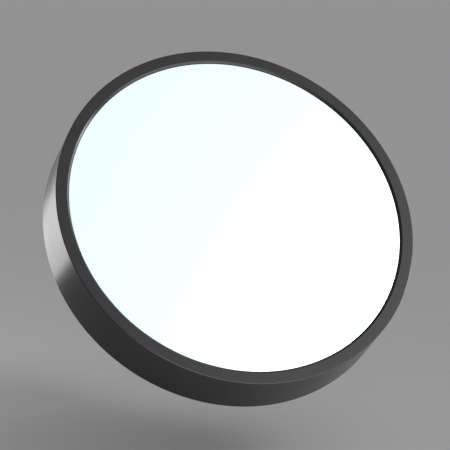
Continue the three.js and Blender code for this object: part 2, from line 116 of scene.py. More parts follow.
STEM_RADIUS = 5.5 * MM
FORK_DEPTH = 13 * MM
FORK_ROOT = 8.5 * MM  # tilt axis to the bottom of the fork's slot
NECK_HOLE_DEPTH = 9 * MM
BOLT_HOLE = 2.8 * MM
KNURLS = 24
KNURL_DEPTH = 0.35 * MM
COVER_SKIN = 1.6 * MM
COVER_EDGE = 2 * MM
WALL_HOLE = 2.5 * MM
WALL_HOLE_SPREAD = 28 * MM
COUNTERSINK = 2 * MM
PLATE_EDGE = 0.6 * MM
PLATE_SKIN = 1 * MM  # left behind the plate's blind holes
PAST = 1 * MM  # how far a cutting tool runs past the piece it cuts
FAR = 30 * MM  # beyond any small piece, from its middle

# A noise's value is mostly between these two
NOISE_LOW = 0.3
NOISE_HIGH = 0.7

# The camera, about the front face of the drum
CAMERA_AZIMUTH = math.radians(20.5)
CAMERA_DROP = math.radians(8.7)
CAMERA_DISTANCE = 13.249  # in rim radii
CAMERA_RIGHT = 0.0692  # from the picture's middle to the drum's, in rim radii
CAMERA_UP = 0.0694  # the same, upward
RIM_INSET = 0.5 * MM  # from the drum's side in to the rim radius used here
LENS_MM = 196.8
SENSOR_MM = 36

X_AXIS = Vector((1, 0, 0))
Y_AXIS = Vector((0, 1, 0))
Z_AXIS = Vector((0, 0, 1))

# Reading the frame -------------------------------------------------------------------------

JOINTS = {joint["name"]: joint for joint in frame["joints"]}
BODY_OF = {
    node: body
    for body, nodes in frame["record"]["behaviour"]["bodies"].items()
    for node in nodes
}


def joint_place(name):
    return Vector(JOINTS[name]["pos_m"])


def middle(node):
    low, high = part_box(node)
    return (low + high) / 2



def looking_way(node):
    """The way the largest face of a node looks, taken on the -Y side."""
    largest = max(frame["nodes"][node].data.polygons, key=lambda face: face.area)
    normal = largest.normal.normalized()
    return -normal if normal.y > 0 else normal


def distinct(values):
    """The values in order, with those that are nearly the same merged."""
    kept = []
    for value in sorted(values):
        if not kept or value - kept[-1] > SAME:
            kept.append(value)
    return kept


def in_frame(node, matrix):
    """The corners of a node's CAD mesh, in a local frame."""
    inverse = matrix.inverted()
    return [inverse @ vertex.co for vertex in frame["nodes"][node].data.vertices]


def gauge(node, matrix):
    """(levels, radii): where along a local frame's Z axis, and how far from it, a node has corners."""
    corners = in_frame(node, matrix)
    levels = distinct(corner.z for corner in corners)
    radii = distinct(corner.xy.length for corner in corners)
    return levels, [radius for radius in radii if radius > SAME]


# Placing -----------------------------------------------------------------------------------


def placed(origin, up, side):
    """The matrix of a local frame: Z along up, X along side."""
    z = up.normalized()
    x = (side - side.dot(z) * z).normalized()
    turn = Matrix((x, z.cross(x), z)).transposed().to_4x4()
    return Matrix.Translation(origin) @ turn


def centred(node, matrix):
    """A local frame moved sideways, so that its Z axis is the node's own middle line."""
    corners = in_frame(node, matrix)
    across = [(min(values) + max(values)) / 2 for values in (
        [corner.x for corner in corners],
        [corner.y for corner in corners],
    )]
    return matrix @ Matrix.Translation((*across, 0))


ORIGIN = Vector((0, 0, 0))
TILT_PLACE = joint_place("head_tilt")
MIRROR_WAY = looking_way("mirror_glass")
HEAD_FRAME = placed(TILT_PLACE, MIRROR_WAY, X_AXIS)
WALL_FRAME = placed(ORIGIN, -Y_AXIS, X_AXIS)
UP_FRAME = placed(ORIGIN, Z_AXIS, X_AXIS)
DOWN_FRAME = placed(ORIGIN, -Z_AXIS, X_AXIS)
CROSS_FRAME = placed(ORIGIN, X_AXIS, Y_AXIS)
TILT_FRAME = placed(ORIGIN, X_AXIS, Z_AXIS)  # Z along the tilt axis, X along a stem or a tongue
TOWARD_WALL = placed(ORIGIN, Y_AXIS, X_AXIS)
TOWARD_FRONT = WALL_FRAME

# Mesh helpers ------------------------------------------------------------------------------


def eased(points, closed=False):
    """A profile with its corners rounded. A point is (x, y) or (x, y, radius of its rounding)."""
    smooth = []
    count = len(points)
    for index, point in enumerate(points):
        here = Vector(point[:2])
        at_end = index in (0, count - 1)
        if len(point) < 3 or (at_end and not closed):
            smooth.append(here)
            continue
        back = (Vector(points[index - 1][:2]) - here).normalized()
        on = (Vector(points[(index + 1) % count][:2]) - here).normalized()
        half = back.angle(on) / 2
        start = here + back * point[2] / math.tan(half)
        end = here + on * point[2] / math.tan(half)
        centre = here + (back + on).normalized() * point[2] / math.sin(half)
        sweep = math.pi - 2 * half
        for step in range(EASE_STEPS + 1):
            share = step / EASE_STEPS
            ahead = math.sin((1 - share) * sweep) * (start - centre)
            ahead += math.sin(share * sweep) * (end - centre)
            smooth.append(centre + ahead / math.sin(sweep))
    return smooth


def circle(radius, sides=SIDES, centre=(0, 0)):
    """Points round a circle, anticlockwise."""
    return [
        Vector((
            centre[0] + radius * math.cos(2 * math.pi * index / sides),
            centre[1] + radius * math.sin(2 * math.pi * index / sides),
        ))
        for index in range(sides)
    ]


def add_turned(shape, profile, sides=SIDES, closed=False):
    """Adds a surface turned about Z. Its profile of (radius, height) runs up its outside."""
    rings = []
    for radius, height in profile:
        if radius < SAME:
            rings.append([shape.verts.new((0, 0, height))])
        else:
            rings.append([shape.verts.new((*spot, height)) for spot in circle(radius, sides)])
    pairs = list(zip(rings, rings[1:]))
    if closed:
        pairs.append((rings[-1], rings[0]))
    for low, high in pairs:
        for index in range(sides):
            following = (index + 1) % sides
            corners = [
                low[index % len(low)],
                low[following % len(low)],
                high[following % len(high)],
                high[index % len(high)],
            ]
            shape.faces.new(list(dict.fromkeys(corners)))


def turned(profile, sides=SIDES, closed=False):
    shape = bmesh.new()
    add_turned(shape, eased(profile, closed), sides, closed)
    return shape


def inset(loop, distance):
    """A closed loop of points moved to its own left."""
    moved = []
    for index, here in enumerate(loop):
        back = (here - loop[index - 1]).normalized()
        on = (loop[(index + 1) % len(loop)] - here).normalized()
        left = Vector((-back.y - on.y, back.x + on.x)).normalized()
        moved.append(here + left * distance / left.dot(Vector((-on.y, on.x))))
    return moved


def rounding(low, high, ease):
    """(inset, height) up the edge of a plate with rounded edges."""
    turns = [math.pi / 2 * step / EASE_STEPS for step in range(EASE_STEPS + 1)]
    lower = [(ease * (1 - math.sin(turn)), low + ease * (1 - math.cos(turn))) for turn in turns]
    return lower + [(depth, low + high - height) for depth, height in reversed(lower)]


def plate(outline, holes, low, high, ease=SMALL_EDGE):
    """A flat plate between two heights. Its outline and its holes run anticlockwise."""
    shape = bmesh.new()
    ends = ([], [])
    for loop in [outline] + [hole[::-1] for hole in holes]:
        rings = [
            [shape.verts.new((*spot, height)) for spot in inset(loop, depth)]
            for depth, height in rounding(low, high, ease)
        ]
        for lower, upper in zip(rings, rings[1:]):
            for index in range(len(loop)):
                following = (index + 1) % len(loop)
                shape.faces.new(
                    (lower[index], lower[following], upper[following], upper[index])
                )
        for end, ring in zip(ends, (rings[0], rings[-1])):
            end += [
                shape.edges.get((ring[index - 1], ring[index])) for index in range(len(ring))
            ]
    for end, way in zip(ends, (-1, 1)):
        bmesh.ops.triangle_fill(shape, edges=end, use_beauty=True, normal=(0, 0, way))
    return shape


def strip(radius, start, end, round_end=False):
    """The outline of a strip along X, round about x = start, and about x = end or square there."""
    half = SIDES // 2
    near = [
        Vector((start - radius * math.sin(turn), radius * math.cos(turn)))
        for turn in [math.pi * index / half for index in range(half + 1)]
    ]
    if round_end:
        return near + [Vector((start + end, 0)) - spot for spot in near]
    return near + [Vector((end, -radius)), Vector((end, radius))]


def block(low, high):
    """A box between two corners."""
    shape = bmesh.new()
    bmesh.ops.create_cube(shape, size=1)
    size = Vector(high) - Vector(low)
    place = (Vector(high) + Vector(low)) / 2
    shape.transform(Matrix.Translation(place) @ Matrix.Diagonal((*size, 1)))
    return shape


def pin(radius, low, high, spot=(0, 0), sides=SIDES):
    """A plain round bar along Z, for cutting holes."""
    shape = bmesh.new()
    add_turned(shape, [(0, low), (radius, low), (radius, high), (0, high)], sides)
    shape.transform(Matrix.Translation((*spot, 0)))
    return shape


def laid(shape, matrix):
    """A shape moved by a matrix."""
    shape.transform(matrix)
    return shape


def combined(operation, base, *tools):
    """The UNION, DIFFERENCE or INTERSECT of a shape with others."""
    objects = []
    for shape in (base, *tools):
        mesh = bpy.data.meshes.new("tool")
        bmesh.ops.recalc_face_normals(shape, faces=shape.faces[:])
        shape.to_mesh(mesh)
        shape.free()
        objects.append(bpy.data.objects.new("tool", mesh))
        bpy.context.scene.collection.objects.link(objects[-1])
    for tool in objects[1:]:
        step = objects[0].modifiers.new("tool", "BOOLEAN")
        step.operation = operation
        step.solver = "EXACT"
        step.object = tool
    result = bmesh.new()
    result.from_object(objects[0], bpy.context.evaluated_depsgraph_get())
    for tool in objects:
        bpy.data.meshes.remove(tool.data)
    return result


# Pieces ------------------------------------------------------------------------------------


def show(node, shape, matrix, material, bevel=0.0):
    """Makes a shape the visible piece of a CAD node, riding on the node's body."""
    mesh = bpy.data.meshes.new(f"{node}_look")
    bmesh.ops.recalc_face_normals(shape, faces=shape.faces[:])
    shape.to_mesh(mesh)
    shape.free()
    for face in mesh.polygons:
        face.use_smooth = True
    mesh.set_sharp_from_angle(angle=SHARP_ANGLE)
    mesh.materials.append(material)
    piece = bpy.data.objects.new(f"{node}_look", mesh)
    bpy.context.scene.collection.objects.link(piece)
    piece.matrix_world = matrix
    if bevel:
        edges = piece.modifiers.new("edges", "BEVEL")
        edges.width = bevel
        edges.segments = 2
        edges.limit_method = "ANGLE"
        edges.angle_limit = BEVEL_ANGLE
    shading = piece.modifiers.new("shading", "WEIGHTED_NORMAL")
    shading.keep_sharp = True
    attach(piece, BODY_OF[node])
    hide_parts(node)
    return piece


# Finishes ----------------------------------------------------------------------------------


def blank_material(name):
    """(material, its node tree, its Principled shader)"""
    material = bpy.data.materials.new(name)
    material.use_nodes = True
    tree = material.node_tree
    return material, tree, tree.nodes["Principled BSDF"]


def noise(tree, scale, detail=2.0, stretch=(1, 1, 1)):
    """The output of a noise texture in the piece's own coordinates, features 1/scale metres wide."""
    place = tree.nodes.new("ShaderNodeTexCoord")
    scaled = tree.nodes.new("ShaderNodeMapping")
    scaled.inputs["Scale"].default_value = stretch
    texture = tree.nodes.new("ShaderNodeTexNoise")
    texture.inputs["Scale"].default_value = scale
    texture.inputs["Detail"].default_value = detail
    tree.links.new(place.outputs["Object"], scaled.inputs["Vector"])
    tree.links.new(scaled.outputs["Vector"], texture.inputs["Vector"])
    return texture.outputs["Fac"]


def vary(tree, source, socket, low, high):
    """Drives a socket from low to high as the source goes across its usual range."""
    spread = tree.nodes.new("ShaderNodeMapRange")
    spread.inputs["From Min"].default_value = NOISE_LOW
    spread.inputs["From Max"].default_value = NOISE_HIGH
    spread.inputs["To Min"].default_value = low
    spread.inputs["To Max"].default_value = high
    tree.links.new(source, spread.inputs["Value"])
    tree.links.new(spread.outputs["Result"], socket)


def shade(tree, source, socket, dark, light):
    """Drives a colour socket from dark to light."""
    ramp = tree.nodes.new("ShaderNodeValToRGB")
    ramp.color_ramp.elements[0].position = NOISE_LOW
    ramp.color_ramp.elements[0].color = (*dark, 1)
    ramp.color_ramp.elements[1].position = NOISE_HIGH
    ramp.color_ramp.elements[1].color = (*light, 1)
    tree.links.new(source, ramp.inputs["Fac"])
    tree.links.new(ramp.outputs["Color"], socket)


def roughen(tree, shader, source, strength, depth):
    """A bump of that depth in metres."""
    bump = tree.nodes.new("ShaderNodeBump")
    bump.inputs["Strength"].default_value = strength
    bump.inputs["Distance"].default_value = depth
    tree.links.new(source, bump.inputs["Height"])
    tree.links.new(bump.outputs["Normal"], shader.inputs["Normal"])


def drum_black():
    """Satin black lacquer on the drum."""
    material, tree, shader = blank_material("drum_black")
    shader.inputs["IOR"].default_value = 1.42
    cloud = noise(tree, 60)
    shade(tree, cloud, shader.inputs["Base Color"], (0.005, 0.005, 0.0055), (0.008, 0.008, 0.0085))
    vary(tree, cloud, shader.inputs["Roughness"], 0.22, 0.26)
    roughen(tree, shader, noise(tree, 2500, 1.0), 0.03, 0.02 * MM)
    return material


def silvering():
    """The mirror: silvered glass with the faint tint of its thickness."""
    material, tree, shader = blank_material("silvering")
    shader.inputs["Metallic"].default_value = 1.0
    film = noise(tree, 25)
    shade(tree, film, shader.inputs["Base Color"], (0.865, 0.99, 0.995), (0.875, 0.995, 1))
    vary(tree, film, shader.inputs["Roughness"], 0.008, 0.014)
    return material


def cover_black():
    """Finely textured black plastic."""
    material, tree, shader = blank_material("cover_plastic")
    grain = noise(tree, 1800, 3.0)
    shade(tree, grain, shader.inputs["Base Color"], (0.013, 0.013, 0.014), (0.02, 0.02, 0.021))
    vary(tree, noise(tree, 90), shader.inputs["Roughness"], 0.42, 0.52)
    roughen(tree, shader, grain, 0.35, 0.06 * MM)
    return material


def arm_black():
    """Satin powder coat, with its slight orange peel."""
    material, tree, shader = blank_material("arm_powder_coat")
    peel = noise(tree, 900, 2.0)
    shade(tree, peel, shader.inputs["Base Color"], (0.015, 0.015, 0.016), (0.021, 0.021, 0.022))
    vary(tree, noise(tree, 120), shader.inputs["Roughness"], 0.3, 0.42)
    roughen(tree, shader, peel, 0.25, 0.05 * MM)
    return material


def turned_steel():
    """Stainless steel with the fine rings that a lathe leaves across Z."""
    material, tree, shader = blank_material("turned_steel")
    shader.inputs["Metallic"].default_value = 1.0
    rings = noise(tree, 600, 3.0, (0.15, 0.15, 6))
    shade(tree, rings, shader.inputs["Base Color"], (0.5, 0.5, 0.51), (0.62, 0.62, 0.63))
    vary(tree, rings, shader.inputs["Roughness"], 0.2, 0.32)
    roughen(tree, shader, rings, 0.1, 0.02 * MM)
    return material


def brushed_steel():
    """Sheet steel brushed along X."""
    material, tree, shader = blank_material("brushed_sheet_steel")
    shader.inputs["Metallic"].default_value = 1.0
    lines = noise(tree, 700, 3.0, (0.04, 3, 1))
    shade(tree, lines, shader.inputs["Base Color"], (0.5, 0.5, 0.51), (0.6, 0.6, 0.61))
    vary(tree, lines, shader.inputs["Roughness"], 0.28, 0.4)
    roughen(tree, shader, lines, 0.12, 0.02 * MM)
    return material


def zinc_plate():
    """Zinc plating, with faint spangles."""
    material, tree, shader = blank_material("zinc_plating")
    shader.inputs["Metallic"].default_value = 1.0
    place = tree.nodes.new("ShaderNodeTexCoord")
    spangle = tree.nodes.new("ShaderNodeTexVoronoi")
    spangle.inputs["Scale"].default_value = 220
    tree.links.new(place.outputs["Object"], spangle.inputs["Vector"])
    shade(
        tree, spangle.outputs["Distance"], shader.inputs["Base Color"],
        (0.46, 0.47, 0.49), (0.54, 0.55, 0.57),
    )
    vary(tree, noise(tree, 150), shader.inputs["Roughness"], 0.36, 0.5)
    roughen(tree, shader, spangle.outputs["Distance"], 0.1, 0.03 * MM)
    return material


def soft_foam():
    """Fine-celled dark foam."""
    material, tree, shader = blank_material("foam_cells")
    place = tree.nodes.new("ShaderNodeTexCoord")
    cells = tree.nodes.new("ShaderNodeTexVoronoi")
    cells.inputs["Scale"].default_value = 1400
    tree.links.new(place.outputs["Object"], cells.inputs["Vector"])
    shade(
        tree, cells.outputs["Distance"], shader.inputs["Base Color"],
        (0.02, 0.02, 0.02), (0.06, 0.06, 0.06),
    )
    vary(tree, cells.outputs["Distance"], shader.inputs["Roughness"], 0.85, 0.98)
    roughen(tree, shader, cells.outputs["Distance"], 0.8, 0.2 * MM)
    return material


def black_nylon():
    """Slightly waxy black nylon."""
    material, tree, shader = blank_material("nylon_black")
    cloud = noise(tree, 400, 2.0)
    shade(tree, cloud, shader.inputs["Base Color"], (0.014, 0.014, 0.014), (0.024, 0.024, 0.024))
    vary(tree, cloud, shader.inputs["Roughness"], 0.42, 0.56)
    roughen(tree, shader, cloud, 0.1, 0.03 * MM)
    return material


DRUM_BLACK = drum_black()
SILVERING = silvering()
COVER_BLACK = cover_black()
ARM_BLACK = arm_black()
TURNED_STEEL = turned_steel()
BRUSHED_STEEL = brushed_steel()
ZINC = zinc_plate()
FOAM = soft_foam()
NYLON = black_nylon()

# Small pieces that come in several places --------------------------------------------------


def dome(radius, base, rise):
    """Profile points from the edge of a low dome to its top on the axis."""
    turns = [math.pi / 2 * step / DOME_STEPS for step in range(DOME_STEPS + 1)]
    return [(radius * math.cos(turn), base + rise * math.sin(turn)) for turn in turns]


def rivet(node):
    """A pin along X with a domed head at each end."""
    matrix = centred(node, CROSS_FRAME)
    levels, radii = gauge(node, matrix)
    shank, head = radii[0], radii[-1]
    rise = levels[1] - levels[0]
    edge = 0.2 * rise
    upper = dome(head, levels[-2] + edge, rise - edge)
    lower = [(radius, levels[0] + levels[-1] - height) for radius, height in reversed(upper)]
    profile = [
        *lower, (head, levels[1]), (shank, levels[1]),
        (shank, levels[-2]), (head, levels[-2]), *upper,
    ]
    show(node, turned(profile, SIDES), matrix, TURNED_STEEL)


def screw(node, base):
    """A screw with a round head and a hex socket. base has Z from the head to the tip."""
    matrix = centred(node, base)
    levels, radii = gauge(node, matrix)
    top, tip, head = levels[0], levels[-1], radii[-1]
    socket = radii[0]
    shank = radii[1]
    under = levels[-2]
    body = turned([
        (0, top),
        (head, top, 0.3 * (under - top)),
        (head, under, HEAD_EDGE),
        (shank, under),
        (shank, tip, 0.3 * shank),
        (0, tip),
    ])
    floor_level = top + 0.6 * (under - top)
    hexagon = pin(socket, top - PAST, floor_level, sides=6)
    show(node, combined("DIFFERENCE", body, hexagon), matrix, TURNED_STEEL)


def ring(node, base, material, ease=SMALL_EDGE):
    """A washer or a stop ring."""
    matrix = centred(node, base)
    levels, radii = gauge(node, matrix)
    low, high, bore, outer = levels[0], levels[-1], radii[0], radii[-1]
    corners = [(bore, low, ease), (outer, low, ease), (outer, high, ease), (bore, high, ease)]
    show(node, turned(corners, SIDES, closed=True), matrix, material)


def rod(node):
    """A straight steel rod with rounded ends."""
    matrix = centred(node, UP_FRAME)
    levels, radii = gauge(node, matrix)
    ease = 0.2 * radii[-1]
    profile = [
        (0, levels[0]), (radii[-1], levels[0], ease),
        (radii[-1], levels[-1], ease), (0, levels[-1]),
    ]
    show(node, turned(profile), matrix, TURNED_STEEL)


def cap_nut(node, base):
    """A hexagon nut with a domed end. base has Z from the open end to the dome."""
    matrix = centred(node, base)
    levels, radii = gauge(node, matrix)
    low, high, bore, outer = levels[0], levels[-1], radii[0], radii[-1]
    shoulder = low + 0.5 * (high - low)
    prism = pin(outer, low, shoulder, sides=6)
    cone = turned([
        (0, low), (0.9 * outer, low), (outer, low + 0.1 * outer),
        (outer, shoulder - 0.12 * outer), (0.86 * outer, shoulder), (0, shoulder),
    ])
    crown = turned([
        (0, shoulder - SMALL_EDGE), (0.78 * outer, shoulder - SMALL_EDGE),
        *dome(0.78 * outer, shoulder, high - shoulder),
    ])
    nut = combined("UNION", combined("INTERSECT", prism, cone), crown)
    depth = low + 0.64 * (high - low)
    nut = combined("DIFFERENCE", nut, pin(bore, low - PAST, depth))
    show(node, nut, matrix, ARM_BLACK)


def rod_sets():
    for side in ("wall", "front"):
        rod(f"{side}_rod")
        cap_nut(f"{side}_rod_nut_top", UP_FRAME)
        cap_nut(f"{side}_rod_nut_bottom", DOWN_FRAME)
        ring(f"{side}_washer", UP_FRAME, NYLON, FINE_EDGE)
        ring(f"{side}_stop_ring", UP_FRAME, TURNED_STEEL)


# Wall side ---------------------------------------------------------------------------------


def screw_spots(names, base):
    """Where the middle lines of some screws are, across a local frame."""
    return [(base.inverted() @ centred(name, base)).translation.xy for name in names]


BRACKET_SCREWS = ("bracket_screw_upper", "bracket_screw_lower")


def wall_plate():
    levels, radii = gauge("wall_plate", WALL_FRAME)
    high, outer = levels[-1], radii[-1]
    disc = turned([(0, 0), (outer, 0, SMALL_EDGE), (outer, high, PLATE_EDGE), (0, high)], WALL_SIDES)
    tools = [
        pin(HOLE, PLATE_SKIN, high + PAST, spot)
        for spot in screw_spots(BRACKET_SCREWS, WALL_FRAME)
    ]
    for side in (-1, 1):
        sink = turned([
            (0, -PAST), (WALL_HOLE, -PAST), (WALL_HOLE, high - COUNTERSINK),
            (WALL_HOLE + COUNTERSINK + PAST, high + PAST), (0, high + PAST),
        ])
        tools.append(laid(sink, Matrix.Translation((side * WALL_HOLE_SPREAD, 0, 0))))
    show("wall_plate", combined("DIFFERENCE", disc, *tools), WALL_FRAME, ZINC)


def wall_cover():
    levels, radii = gauge("wall_cover", WALL_FRAME)
    low, high, outer = levels[0], levels[-1], radii[-1]
    inner = outer - COVER_SKIN
    cap = turned(
        [
            (0, high - COVER_SKIN), (inner, high - COVER_SKIN, SMALL_EDGE), (inner, low),
            (outer, low, SMALL_EDGE), (outer, high, COVER_EDGE), (0, high),
        ],
        WALL_SIDES,
    )
    tools = [
        pin(HOLE, low, high + PAST, spot) for spot in screw_spots(BRACKET_SCREWS, WALL_FRAME)
    ]
    show("wall_cover", combined("DIFFERENCE", cap, *tools), WALL_FRAME, COVER_BLACK)


def bracket(node, base, screws):
    """A C bracket bent from strip. base has Z along the rod and Y toward the spine."""
    corners = in_frame(node, base)
    half = max(corner.x for corner in corners)
    far = max(corner.y for corner in corners)
    top = max(corner.z for corner in corners)
    near = far - BRACKET_THICKNESS
    under = top - LUG_THICKNESS
    section = eased(
        [
            (far, -top, BEND_OUTER), (far, top, BEND_OUTER), (-half, top), (-half, under),
            (near, under, BEND_INNER), (near, -under, BEND_INNER), (-half, -under), (-half, -top),
        ],
        closed=True,
    )
    turn = Matrix(((0, 0, 1), (1, 0, 0), (0, 1, 0))).to_4x4()
    bent = laid(plate(section, [], -half, half, BEND_EDGE), turn)
    plan = laid(
        plate(strip(half - 0.01 * MM, 0, far + FAR), [], -top - PAST, top + PAST, BEND_EDGE),
        Matrix.Rotation(math.pi / 2, 4, "Z"),
    )
    bent = combined("INTERSECT", bent, plan)
    bore = gauge(f"{node.split('_')[0]}_washer", base)[1][0]
    tools = [pin(bore, -FAR - FAR, FAR + FAR)]
    for name in screws:
        spot = (base.inverted() @ middle(name)).z
        lift = Matrix.Translation((0, 0, spot)) @ TOWARD_WALL
        tools.append(laid(pin(HOLE, 0, FAR), lift))
        tools.append(laid(pin(HEAD_SEAT, near - PAST, near + HEAD_SEAT_DEPTH), lift))
    show(node, combined("DIFFERENCE", bent, *tools), base, ARM_BLACK, bevel=BRACKET_BEVEL)


def wall_side():
    wall_plate()
    wall_cover()
    base = placed(Vector((0, joint_place("arm_swivel").y, 0)), Z_AXIS, X_AXIS)
    bracket("wall_bracket", base, BRACKET_SCREWS)
    for name in BRACKET_SCREWS:
        screw(name, TOWARD_WALL)


# Scissor arm -------------------------------------------------------------------------------

CELLS = 4
TOP_PIVOTS = ["wall_top_pivot", "upper_rivet_1", "upper_rivet_2", "upper_rivet_3", "front_top_pivot"]
LOW_PIVOTS = [
    "wall_lower_pivot", "lower_rivet_1", "lower_rivet_2", "lower_rivet_3", "front_lower_pivot",
]


def bar(node, first, last):
    """A bar from one pivot to another, with a third hole halfway."""
    low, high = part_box(node)
    start, end = (Vector((low.x, middle(name).y, middle(name).z)) for name in (first, last))
    along = end - start
    radius = (high.z - low.z - abs(along.z)) / 2
    hole = gauge(node, placed(start, X_AXIS, along))[1][0]
    half = along.length / 2
    holes = [circle(hole, HOLE_SIDES, (half * place, 0)) for place in (-1, 0, 1)]
    flat = plate(strip(radius, -half, half, True), holes, 0, high.x - low.x, BAR_EDGE)
    show(node, flat, placed((start + end) / 2, X_AXIS, along), ARM_BLACK)


def collar(end, level, pivot, rod_y):
    """A sleeve on a rod, with a tab to one side for a bar's end."""
    node = f"{end}_{level}_collar"
    low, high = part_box(node)
    place = Vector((0, rod_y, middle(node).z))
    base = placed(place, Z_AXIS, X_AXIS)
    pin_place = middle(pivot)
    way = math.copysign(1, pin_place.y - rod_y)
    side = 1 if high.x > -low.x else -1
    outer = min(high.x, -low.x)
    tab_outer = max(high.x, -low.x)
    bore = gauge(node, base)[1][0]
    half = (high.z - low.z) / 2
    dip = outer - COLLAR_GROOVE
    sleeve = turned(
        [
            (bore, -half, FINE_EDGE), (outer, -half, COLLAR_EDGE),
            (outer, -0.25 * half), (dip, -0.18 * half), (dip, 0.18 * half), (outer, 0.25 * half),
            (outer, half, COLLAR_EDGE), (bore, half, FINE_EDGE),
        ],
        SIDES,
        closed=True,
    )
    tip = low.y if way < 0 else high.y
    radius = abs(tip - pin_place.y)
    reach = abs(pin_place.y - rod_y)
    hole = gauge(node, placed(Vector((0, pin_place.y, pin_place.z)), X_AXIS, Y_AXIS))[1][0]
    start = tab_outer - TAB_THICKNESS if side > 0 else -tab_outer
    tab = plate(strip(radius, 0, reach), [circle(hole, HOLE_SIDES)], 0, TAB_THICKNESS)
    tab_frame = placed(Vector((start, pin_place.y, pin_place.z)), X_AXIS, -way * Y_AXIS)
    tab = laid(tab, base.inverted() @ tab_frame)
    body = combined("UNION", sleeve, tab)
    body = combined("DIFFERENCE", body, pin(bore, -half - PAST, half + PAST))
    show(node, body, base, ARM_BLACK)


def scissor_arm():
    for cell in range(CELLS):
        bar(f"bar_a{cell + 1}", TOP_PIVOTS[cell], LOW_PIVOTS[cell + 1])
        bar(f"bar_b{cell + 1}", LOW_PIVOTS[cell], TOP_PIVOTS[cell + 1])
        rivet(f"centre_rivet_{cell + 1}")
    for name in TOP_PIVOTS + LOW_PIVOTS:
        rivet(name)
    for end, joint in (("wall", "arm_swivel"), ("front", "head_yaw")):
        for level in ("top", "lower"):
            collar(end, level, f"{end}_{level}_pivot", joint_place(joint).y)


# Neck and tilt joint -----------------------------------------------------------------------


def neck():
    base = placed(TILT_PLACE, Y_AXIS, X_AXIS)
    levels = gauge("neck", base)[0]
    fork_radius, far = -levels[0], levels[-1]
    flange = max(corner.x for corner in in_frame("neck", base))
    half = gauge("tilt_nut", CROSS_FRAME)[0][0] - CLEARANCE
    slot = gauge("friction_washer_right", CROSS_FRAME)[0][-1] + CLEARANCE
    near = far - FLANGE_THICKNESS
    stem = turned([
        (0, FORK_DEPTH - PAST), (STEM_RADIUS, FORK_DEPTH - PAST), (STEM_RADIUS, near, STEM_FILLET),
        (flange, near, FLANGE_EDGE), (flange, far, SMALL_EDGE), (0, far),
    ])
    fork = laid(plate(strip(fork_radius, 0, FORK_DEPTH), [], -half, half, BROAD_EDGE), TILT_FRAME)
    body = combined("UNION", stem, fork)
    body = combined(
        "DIFFERENCE", body,
        block((-slot, -FAR, -FAR), (slot, FAR, FORK_ROOT)),
        laid(pin(BOLT_HOLE, -FAR, FAR), TILT_FRAME),
        pin(HOLE, far - NECK_HOLE_DEPTH, far + PAST),
    )
    show("neck", body, base, ARM_BLACK, bevel=FINE_EDGE)


def tilt_nut():
    """A small knurled nut."""
    matrix = centred("tilt_nut", CROSS_FRAME)
    levels, radii = gauge("tilt_nut", matrix)
    outline = []
    for spot in circle(1, 8 * KNURLS):
        wave = (1 + math.cos(KNURLS * math.atan2(spot.y, spot.x))) / 2
        outline.append(spot * (radii[-1] - KNURL_DEPTH * (1 - wave)))
    bore = [circle(radii[0], SIDES)]
    knob = plate(outline, bore, levels[0], levels[-1], NUT_EDGE)
    show("tilt_nut", knob, matrix, ARM_BLACK)


def knuckle():
    levels, radii = gauge("knuckle", HEAD_FRAME)
    radius, front = -levels[0], levels[-1]
    back = front - FLANGE_THICKNESS
    flange = turned([
        (0, back), (radii[-1], back, BROAD_EDGE), (radii[-1], front, SMALL_EDGE), (0, front),
    ])
    half = gauge("friction_washer_right", CROSS_FRAME)[0][0] - CLEARANCE
    tongue = laid(plate(strip(radius, 0, back + PAST), [], -half, half, TONGUE_EDGE), TILT_FRAME)
    body = combined("UNION", flange, tongue)
    tools = [
        pin(SMALL_HOLE, back - PAST, front + PAST, spot)
        for spot in screw_spots(KNUCKLE_SCREWS, HEAD_FRAME)
    ]
    tools.append(laid(pin(BOLT_HOLE, -FAR, FAR), TILT_FRAME))
    show("knuckle", combined("DIFFERENCE", body, *tools), HEAD_FRAME, ARM_BLACK)


def front_side():
    base = placed(Vector((0, joint_place("head_yaw").y, 0)), Z_AXIS, -X_AXIS)
    bracket("front_bracket", base, ["neck_screw"])
    neck()
    tilt_nut()
    screw("neck_screw", TOWARD_FRONT)
    screw("tilt_bolt", CROSS_FRAME)
    ring("friction_washer_left", CROSS_FRAME, NYLON, NYLON_EDGE)
    ring("friction_washer_right", CROSS_FRAME, NYLON, NYLON_EDGE)


# Mirror head -------------------------------------------------------------------------------

COVER_SCREWS = ["cover_screw_1", "cover_screw_2", "cover_screw_3"]
KNUCKLE_SCREWS = ["knuckle_screw_1", "knuckle_screw_2", "knuckle_screw_3"]


